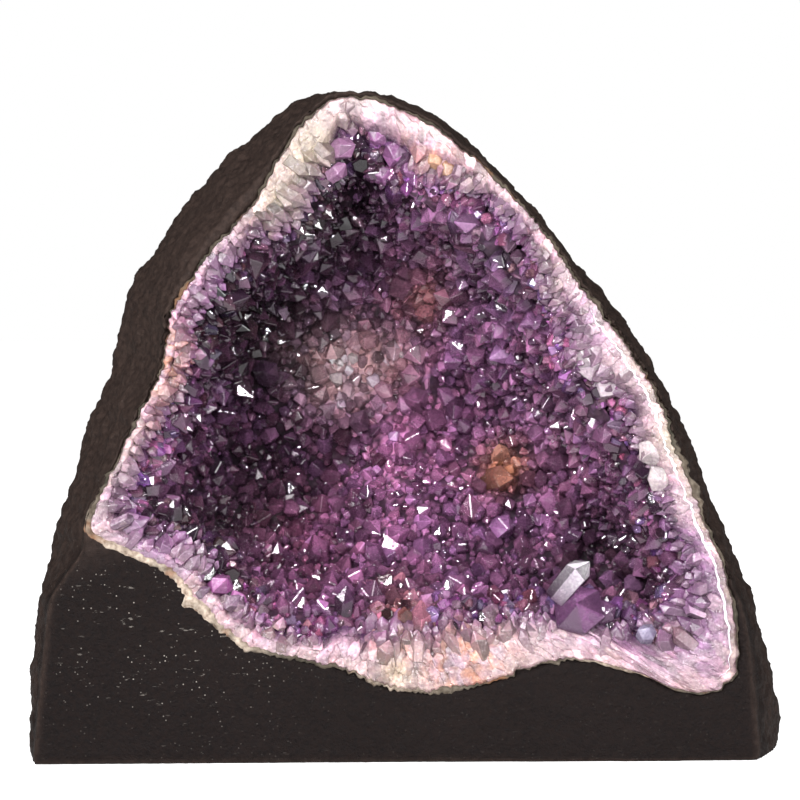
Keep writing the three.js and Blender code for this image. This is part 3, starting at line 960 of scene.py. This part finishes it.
# narrow polished bevel along the right side of the band
def makeChamfer():
    vertices, colours, faces = [], [], []
    steps = [i for i in range(rimSteps) if onChamfer(i)]
    for count, i in enumerate(steps):
        sway = 0.5 * noise.noise(Vector((rimWalk[i] * 90, 0, 0)))
        sway += 0.25 * noise.noise(Vector((rimWalk[i] * 300, 5, 0)))
        inward = rimInward(i)
        start = rimPoint(i, 0) + inward * (chamferLook["inset"] + sway * mm)
        fade = min(1, count / 40, (len(steps) - count) / 40)
        half = chamferLook["width"] * (0.55 + 0.5 * noise.noise(Vector((rimWalk[i] * 160, 2, 0)))) * fade
        for reach, depth in chamferLook["profile"]:
            v = start + inward * half * reach
            v.y = faceY + depth * mm
            vertices.append(v)
            colours.append(chamferLook["colour"])
    width = len(chamferLook["profile"])
    for i in range(len(steps) - 1):
        for k in range(width - 1):
            a, b = i * width + k, (i + 1) * width + k
            faces.append((a, a + 1, b + 1, b))
    obj = makeObject("rim_chamfer", vertices, faces, polishMaterial, smooth=True)
    addTint(obj, np.array(colours, np.float32))
    place(obj, "quartz")


makeBandPlate()
makeBandColumns()
makeChamfer()
print("band ready")


# where the seam is thick: x, z in mm, how wide, extra thickness in mm, how pale
crustPatches = [(-80, 58, 13, 1.4, 0.8), (-62, 46, 14, 1.6, 0.8), (-48, 36, 8, 1.0, 0.6),
                (76, 78, 12, 0.6, 0.15), (80, 60, 10, 0.5, 0.1), (12, 21, 9, 0.5, 0.1),
                (-6, 24, 10, 0.6, 0.5), (-70, 74, 10, 0.4, 0.5), (60, 25, 14, 0.5, 0.6)]


def makeCrust():
    vertices, faces, paleness = [], [], []
    # outward in thicknesses, and depth behind the face
    profile = [(-0.6, 0.9), (-0.35, -0.02), (0.2, -0.18), (0.9, -0.12), (1.5, 0.15), (1.9, 1.2)]
    for i in range(rimSteps):
        point = rimPoint(i, 0)
        outward = (point - cavityCentre)
        outward.y = 0
        outward.normalize()
        extra = pale = 0.0
        for x, z, width, more, tone in crustPatches:
            weight = nearness(point, x, z, width)
            extra = max(extra, more * weight)
            pale = max(pale, tone * weight)
        thick = 0.22 + extra * (1 + noise.noise(point * 260))
        thick = max(0.05, thick + 0.5 * noise.noise(point * 110) + 0.35 * noise.noise(point * 420))
        for k, (reach, depth) in enumerate(profile):
            jitter = 0.3 * noise.noise(point * 900 + Vector((k * 2.1, 0, 0)))
            shift = (reach * thick + jitter) * mm
            v = point + outward * shift
            rough = 0.12 * noise.noise(point * 1300 + Vector((0, k, 0)))
            v.y = faceY + (depth * (0.4 + thick * 0.5) + rough) * mm
            vertices.append(v)
            paleness.append(min(1, pale * (1.1 + noise.noise(v * 400))))
    width = len(profile)
    for i in range(rimSteps):
        for k in range(width - 1):
            a, b = i * width + k, ((i + 1) % rimSteps) * width + k
            faces.append((a, b, b + 1, a + 1))
    obj = makeObject("crust_seam", vertices, faces, crustStone, smooth=True)
    pale = obj.data.attributes.new("pale", "FLOAT", "POINT")
    pale.data.foreach_set("value", np.array(paleness, np.float32))
    place(obj, "crust", "celadonite_crust")
    return obj


makeCrust()
print("crust ready")


# colour patches of the lining, and painted shadow where the cavity is deep and overhung: x, z in mm, width in
# mm, colour, strength
liningTonesAndShadows = [
    (-2, 86, 17, (0.64, 0.22, 0.44), 0.95),
    (-2, 74, 30, (0.37, 0.145, 0.30), 0.7),
    # the next two are near black: painted shadow under the overhanging upper left wall
    (-46, 122, 30, (0.018, 0.010, 0.014), 0.97),
    (-22, 153, 20, (0.0314, 0.021, 0.0258), 0.9),
    (-18, 109, 13, (0.85, 0.56, 0.58), 1.0),
    (-4, 112, 9, (0.672, 0.378, 0.361), 0.7),
    (7, 131, 9, (0.47, 0.189, 0.103), 0.7),
    (32, 79, 8, (0.515, 0.21, 0.0516), 0.9),
    (-3, 38, 8, (0.515, 0.21, 0.12), 0.7),
    (22, 150, 18, (0.28, 0.17, 0.28), 0.7),
    (10, 152, 12, (0.314, 0.126, 0.224), 0.6),
    (50, 75, 13, (0.448, 0.179, 0.361), 0.8),
    (46, 96, 12, (0.336, 0.168, 0.275), 0.6),
    # the next four are dark: painted shadow deep on the left and in the lower corners of the cavity
    (-33, 78, 18, (0.056, 0.0263, 0.0473), 0.8),
    (-46, 66, 20, (0.112, 0.0525, 0.0817), 0.85),
    (-56, 62, 15, (0.05, 0.025, 0.04), 0.75),
    (62, 52, 22, (0.112, 0.0546, 0.086), 0.8),
    (-30, 56, 14, (0.291, 0.0945, 0.189), 0.7),
    (26, 122, 18, (0.30, 0.13, 0.26), 0.6),
]
liningLook = {
    "amethyst": (0.265, 0.108, 0.235),
    "sizes": [(3.0, 4.3, 500), (2.1, 3.0, 5000), (1.2, 2.1, 30000)],    # radii in mm, and tries
    "crowding": 0.6,    # how close two crystals may stand, as a share of their radii
    "tilt": 0.33,
    "rise": (0.7, 1.7),    # how far a point stands out, in radii
    "glow": (0.8, 1.5),    # tip brightness
    # crystal roots darkened to this share: painted shade between the crowded crystals
    "rootPaintedShade": 0.22,
    "apexFrom": 156 * mm,    # the points are small under the apex
    "apexShare": 0.6,
    "softEdge": 0.22 * mm,
}


# crystals between the band's inner edge and the lining behind it, in mm
collarLook = {
    "spacing": (0.3, 0.6),
    "reach": (-1.5, 8.0),
    "depth": 4.6,
    "slope": 0.25,
    "uneven": (-1.2, 1.6),
    "radius": (1.3, 3.1),
}


def liningColour(point, rng):
    colour = liningLook["amethyst"]
    for x, z, width, tone, strength in liningTonesAndShadows:
        weight = strength * nearness(point, x, z, width)
        colour = blend(colour, tone, min(1, weight * rng.uniform(0.8, 1.1)))
    cluster = 0.5 * noise.noise(point * 95) + 0.3 * noise.noise(point * 40)
    milky = float(smoothStep(0.3, 0.5, colour[1]))
    shade = math.exp((rng.gauss(-0.12, 0.3) + 1.5 * cluster) * (1 - 0.8 * milky) + 0.1 * milky)
    redder = rng.uniform(-0.06, 0.08)
    return tuple(min(0.85, max(0.004, c * shade * k)) for c, k in zip(colour, (1 + redder, 1, 1 - redder)))


# colour between the crystals, darkened as painted shade: nearly black, but milky where the crystals are pale
def gapShadeColour(colour):
    factor = 0.1 + 0.55 * float(smoothStep(0.3, 0.6, max(colour)))
    return [c * factor for c in colour]


# which of the four pieces of the lining a point belongs to
def quarter(point):
    return (point.x >= cavityCentre.x + 8 * mm) + 2 * (point.z > 90 * mm)


def makeLiningBase(rng):
    skin = remeshed("lining_base", ["amethyst_druse"], 1.6 * mm, 12)
    co, no = meshArrays(skin)
    for i in range(len(co)):
        p = Vector(co[i])
        co[i] += no[i] * (noise.noise(p * 60) * 1.6 + noise.noise(p * 220) * 0.5) * mm
    co[:, 1] = np.maximum(co[:, 1], faceY + 7 * mm)
    skin.data.vertices.foreach_set("co", co.ravel())
    skin.data.update()
    skin.data.materials.append(liningMaterial)
    # the skin between the crystals carries the painted shade
    addTint(skin, np.array([gapShadeColour(liningColour(Vector(p), rng)) for p in co], np.float32))
    place(skin, "amethyst", "amethyst_druse")
    return skin.data


# points, directions and radii, the largest first, on the faces that look into the cavity
def scatterPoints(mesh, rng):
    centre = Vector((cavityCentre.x, faceY + 25 * mm, cavityCentre.z))
    seen = [poly for poly in mesh.polygons if poly.normal.dot((centre - poly.center).normalized()) > 0.0]
    candidates = [(poly.center.copy(), poly.normal.copy()) for poly in seen]
    areas = [poly.area for poly in seen]
    weights = np.array(areas) / sum(areas)
    chooser = np.random.default_rng(7)
    grid = {}
    cell = 6 * mm
    chosen = []
    for low, high, tries in liningLook["sizes"]:
        for index in chooser.choice(len(candidates), tries, p=weights):
            point, normal = candidates[index]
            point = point + Vector((rng.uniform(-1, 1), rng.uniform(-1, 1), rng.uniform(-1, 1))) * mm
            radius = rng.uniform(low, high) * mm
            key = tuple(int(math.floor(c / cell)) for c in point)
            near = [stone for dx in (-1, 0, 1) for dy in (-1, 0, 1) for dz in (-1, 0, 1)
                    for stone in grid.get((key[0] + dx, key[1] + dy, key[2] + dz), [])]
            if any((other - point).length < (wide + radius) * liningLook["crowding"] for other, wide in near):
                continue
            grid.setdefault(key, []).append((point, radius))
            chosen.append((point, normal, radius))
    return chosen


def growLining(chosen, batches, rng):
    tilt = liningLook["tilt"]
    for point, normal, radius in chosen:
        axis = normal + Vector((rng.gauss(0, tilt), rng.gauss(0, tilt), rng.gauss(0, tilt)))
        axis.normalize()
        if point.z > liningLook["apexFrom"]:
            radius *= liningLook["apexShare"]
        rise = radius * rng.uniform(*liningLook["rise"])
        tip = point + axis * rise
        if tip.y < faceY + 1.5 * mm:
            continue
        colour = liningColour(point, rng)
        glow = rng.uniform(*liningLook["glow"])
        tipColour = tuple(min(0.9, c * glow) for c in colour)
        # dark roots: painted shade
        rootColour = tuple(c * liningLook["rootPaintedShade"] for c in colour)
        parts = crystalParts(tip, axis, radius, rise + radius * 1.2, rng)
        batches[quarter(point)].add(parts, rootColour, tipColour, rng)


def growCollar(batches, rng):
    distance = 0.0
    while distance < rimLength / mm:
        step = stepAt(distance * mm)
        distance += rng.uniform(*collarLook["spacing"])
        inward = rimInward(step)
        reach = rng.uniform(*collarLook["reach"])
        tip = rimPoint(step, 1) + inward * reach * mm
        depth = collarLook["depth"] + collarLook["slope"] * max(0, reach) + rng.uniform(*collarLook["uneven"])
        tip.y = faceY + depth * mm
        radius = rng.uniform(*collarLook["radius"]) * mm
        axis = inward * rng.uniform(0.3, 1.0) + Vector((rng.gauss(0, 0.3), -0.75, rng.gauss(0, 0.3)))
        colour = liningColour(tip, rng)
        parts = crystalParts(tip, axis.normalized(), radius, radius * 3, rng)
        tipColour = tuple(min(0.9, c * rng.uniform(*liningLook["glow"])) for c in colour)
        rootColour = tuple(c * liningLook["rootPaintedShade"] for c in colour)
        batches[quarter(tip)].add(parts, rootColour, tipColour, rng)


def makeLining():
    rng = random.Random(3)
    chosen = scatterPoints(makeLiningBase(rng), rng)
    print("lining crystals", len(chosen))
    batches = [CrystalBatch() for _ in range(4)]
    growLining(chosen, batches, rng)
    growCollar(batches, rng)
    for index, batch in enumerate(batches):
        obj = batch.build("lining_crystals_%d" % (index + 1), amethystMaterial, True, liningLook["softEdge"])
        place(obj, "amethyst")


makeLining()
print("lining ready")


# Colours at root and tip. A crystal that isn't plain amethyst lists a slot name of its own. Where one departs
# from the frame's plain shape, it has a tip (x, depth, z in mm), aim, radius and length. Further points grow
# beside
# some: the offset of the tip and the radius in mm.
# the faces of each crystal are painted lighter and darker at random by the given spread, as painted light and
# shade
largeLook = {
    "crystal_square_left": {
        "root": (0.12, 0.03, 0.10), "tip": (0.27, 0.085, 0.22), "facetShadeSpread": 0.4, "sharp": 0.7,
        "at": (-51.5, 1.2, 52.5), "aim": (0.45, -0.72, 0.5), "radius": 4.0, "length": 9,
        "beside": [((-7, 1.5, -3), 3.6), ((5, 2, -5), 3.2)]},
    "crystal_twin_left": {
        "root": (0.20, 0.10, 0.17), "tip": (0.24, 0.11, 0.20),
        "beside": [((4, 0.5, 3), 2.4), ((7, 1.5, -3), 2.8)]},
    "crystal_upper_left": {
        "root": (0.26, 0.14, 0.23), "tip": (0.20, 0.085, 0.18),
        "beside": [((-4, 0.5, -5), 2.6), ((4, 1, 3), 2.6)]},
    "crystal_apex": {
        "root": (0.26, 0.15, 0.22), "tip": (0.22, 0.10, 0.19),
        "at": (-15.0, 1.0, 174), "aim": (0.75, -0.5, 0.2), "radius": 3.6, "length": 10,
        "beside": [((-2.5, 0.6, -6), 2.8)]},
    "crystal_apex_small": {
        "root": (0.12, 0.045, 0.11), "tip": (0.22, 0.09, 0.195), "facetShadeSpread": 0.35, "sharp": 0.6,
        "at": (-4.5, 3.0, 170.5), "aim": (-0.1, -0.93, -0.3), "radius": 4.0, "length": 9,
        "beside": [((-5.5, -0.5, 5), 3.4), ((3, 1, -4.5), 3.7), ((-3.5, 2, -6), 3.0),
                   ((3.5, 0, 5.5), 3.2), ((-0.5, 2.5, 8), 2.6)]},
    "crystal_iron_stained": {
        "root": (0.34, 0.16, 0.08), "tip": (0.42, 0.25, 0.16), "slot": "stained_crystal", "sharp": 0.6,
        "at": (5.5, 1.5, 168.5), "aim": (-0.3, -0.9, -0.3), "radius": 3.3, "length": 8,
        "beside": [((4, 0.3, -3), 2.8)]},
    "crystal_milky_upper": {
        "root": (0.38, 0.31, 0.34), "tip": (0.42, 0.35, 0.37), "slot": "milky_crystal", "sharp": 0.5,
        "beside": [((5, -0.5, -6), 3.6)]},
    "crystal_milky_right": {
        "root": (0.40, 0.33, 0.34), "tip": (0.46, 0.39, 0.38), "slot": "milky_crystal", "sharp": 0.4,
        "at": (68.5, 0.5, 87), "aim": (-0.25, -0.95, -0.1), "radius": 4.8, "length": 7,
        "beside": [((2, 0.2, -7.5), 4.0)]},
    "crystal_right": {"root": (0.26, 0.15, 0.23), "tip": (0.22, 0.10, 0.20)},
    "crystal_lower_right": {
        "root": (0.24, 0.11, 0.22), "tip": (0.17, 0.06, 0.16),
        "beside": [((-3, 0, 8), 3.4), ((-1.5, 1, 16), 3.0)]},
    "crystal_lavender": {
        "root": (0.22, 0.18, 0.25), "tip": (0.27, 0.24, 0.34), "slot": "milky_crystal", "sharp": 0.6,
        "at": (67.5, 1.2, 38.0), "aim": (0.1, -0.75, 0.6), "radius": 3.2, "length": 8},
    "crystal_big_purple": {
        "root": (0.05, 0.014, 0.05), "tip": (0.215, 0.092, 0.20), "facetShadeSpread": 0.25, "sharp": 0.42,
        "soft": 0.6, "glassy": True,
        "at": (47.0, 0.3, 44.5), "aim": (-0.1, -0.88, 0.42), "radius": 8.0, "length": 13,
        "beside": [((7, 1.2, -2), 4.2)]},
    "crystal_clear_point": {
        "root": (0.09, 0.045, 0.085), "tip": (0.8, 0.76, 0.78), "slot": "clear_crystal", "facetShadeSpread": 0.7,
        "at": (50.5, 3.5, 57.0), "aim": (0.6, -0.2, 0.77), "radius": 3.9, "length": 15},
    "crystal_bottom": {
        "root": (0.20, 0.10, 0.17), "tip": (0.22, 0.10, 0.18),
        "beside": [((-7, 0.5, -1), 2.8), ((6, 0.8, 1), 2.6)]},
    "crystal_bottom_right": {"root": (0.20, 0.10, 0.17), "tip": (0.22, 0.095, 0.19)},
}


# tip, aim, radius and length of a crystal in the frame
def framePlace(name):
    points = np.array([tuple(v.co) for v in nodes[name].data.vertices])
    centre = points.mean(0)
    towards = np.array((cavityCentre.x, faceY + 10 * mm, cavityCentre.z)) - centre
    towards /= np.linalg.norm(towards)
    score = (points - centre) @ towards + 0.6 * np.linalg.norm(points - centre, axis=1)
    tip = Vector(points[int(np.argmax(score))])
    aim = (tip - Vector(centre)).normalized()
    rel = points - np.array(tip)
    along = rel @ np.array(aim)
    radius = float(np.percentile(np.linalg.norm(rel - along[:, None] * np.array(aim), axis=1), 85))
    return tip, aim, radius, float(-along.min())


def makeLargeCrystals():
    rng = random.Random(21)
    for name, look in largeLook.items():
        tip, aim, radius, length = framePlace(name)
        if "at" in look:
            x, depth, z = look["at"]
            tip = Vector((x * mm, faceY + depth * mm, z * mm))
            aim = Vector(look["aim"]).normalized()
            radius, length = look["radius"] * mm, look["length"] * mm
        sharp, facetShadeSpread = look.get("sharp", 1.0), look.get("facetShadeSpread", 0.2)
        batch = CrystalBatch()
        parts = crystalParts(tip, aim, radius, length, rng, sharp)
        batch.add(parts, look["root"], look["tip"], rng, 0.6, facetShadeSpread)
        for offset, width in look.get("beside", []):
            leaning = aim + Vector((rng.uniform(-0.3, 0.3), rng.uniform(-0.1, 0.2), rng.uniform(-0.3, 0.3)))
            parts = crystalParts(tip + Vector(offset) * mm, leaning.normalized(),
                                 width * mm, width * 2.4 * mm, rng, sharp)
            tone = rng.uniform(0.75, 1.15)
            tipColour = tuple(c * tone for c in look["tip"])
            batch.add(parts, blend(look["root"], (0, 0, 0), 0.1), tipColour, rng, 0.6, facetShadeSpread)
        material = amethystMaterial if look.get("glassy") else rimMaterial
        obj = batch.build(name + "_look", material, True, look.get("soft", 0.25) * mm, 2)
        place(obj, look.get("slot", "amethyst_crystal"), name)


makeLargeCrystals()
print("large crystals ready")


stageLook = {
    "floorSeen": 0.95,    # brightness to the camera and, below, as a light on the stone
    "floorLight": 0.2,
    "skySeen": 1.0,
    "skyLight": 0.11,
    "lights": [    # name, place, width, height, power
        ("key", (-0.5, -0.75, 0.7), 0.36, 0.36, 16),
        ("fill", (0.8, -0.6, 0.35), 0.25, 0.6, 4.6),
        ("spark_0", (0.05, -0.9, 0.3), 0.05, 0.05, 2.9),
        ("spark_1", (-0.2, -0.9, 0.45), 0.05, 0.05, 2.9),
        ("spark_2", (0.3, -0.85, 0.2), 0.05, 0.05, 2.9),
        ("spark_3", (-0.45, -0.8, 0.15), 0.05, 0.05, 2.9),
        ("spark_4", (0.45, -0.75, 0.55), 0.05, 0.05, 2.9),
    ],
}
cameraLook = {
    "azimuth": -2,
    "elevation": 2.5,
    "distance": 0.6845,
    "lens": 110,
    "target": (cadBox[0].x + 0.108, faceY, 0.1024),
}


# one strength for the camera and another for everything else
def seenStrength(tree, light, seen, socket):
    ray = tree.nodes.new("ShaderNodeLightPath").outputs["Is Camera Ray"]
    tree.links.new(rangeNode(tree, ray, 0, 1, light, seen), socket)


def addStage(obj):
    bpy.context.scene.collection.objects.link(obj)


def makeStage():
    floor = bpy.data.materials.new("stage_white")
    floor.use_nodes = True
    shader = floor.node_tree.nodes["Principled BSDF"]
    shader.inputs["Base Color"].default_value = (0.6, 0.6, 0.6, 1)
    shader.inputs["Roughness"].default_value = 0.8
    shader.inputs["Emission Color"].default_value = (1, 1, 1, 1)
    seenStrength(floor.node_tree, stageLook["floorLight"], stageLook["floorSeen"],
                 shader.inputs["Emission Strength"])
    size, level = 6.0, -0.2 * mm
    corners = [(x * size, y * size, level) for x, y in ((-1, -1), (1, -1), (1, 1), (-1, 1))]
    makeObject("stage_floor", corners, [(0, 1, 2, 3)], floor)
    world = bpy.data.worlds.new("studio")
    bpy.context.scene.world = world
    world.use_nodes = True
    background = world.node_tree.nodes["Background"]
    background.inputs["Color"].default_value = (1, 1, 1, 1)
    seenStrength(world.node_tree, stageLook["skyLight"], stageLook["skySeen"], background.inputs["Strength"])
    middle = Vector((0, 0, 0.1))
    for name, spot, width, height, power in stageLook["lights"]:
        light = bpy.data.lights.new(name, "AREA")
        light.shape = "RECTANGLE"
        light.size, light.size_y = width, height
        light.energy = power
        holder = bpy.data.objects.new(name, light)
        holder.location = spot
        holder.rotation_euler = (middle - Vector(spot)).to_track_quat("-Z", "Y").to_euler()
        addStage(holder)


def makeCamera():
    data = bpy.data.cameras.new("camera")
    data.lens = cameraLook["lens"]
    data.clip_start, data.clip_end = 0.05, 20
    camera = bpy.data.objects.new("camera", data)
    azimuth, elevation = math.radians(cameraLook["azimuth"]), math.radians(cameraLook["elevation"])
    level = math.cos(elevation)
    back = Vector((math.sin(azimuth) * level, -math.cos(azimuth) * level, math.sin(elevation)))
    camera.location = Vector(cameraLook["target"]) + back * cameraLook["distance"]
    camera.rotation_euler = (-back).to_track_quat("-Z", "Y").to_euler()
    bpy.context.scene.collection.objects.link(camera)
    bpy.context.scene.camera = camera


makeStage()
makeCamera()
print("stage ready")
bpy.context.scene.view_settings.view_transform = "Standard"
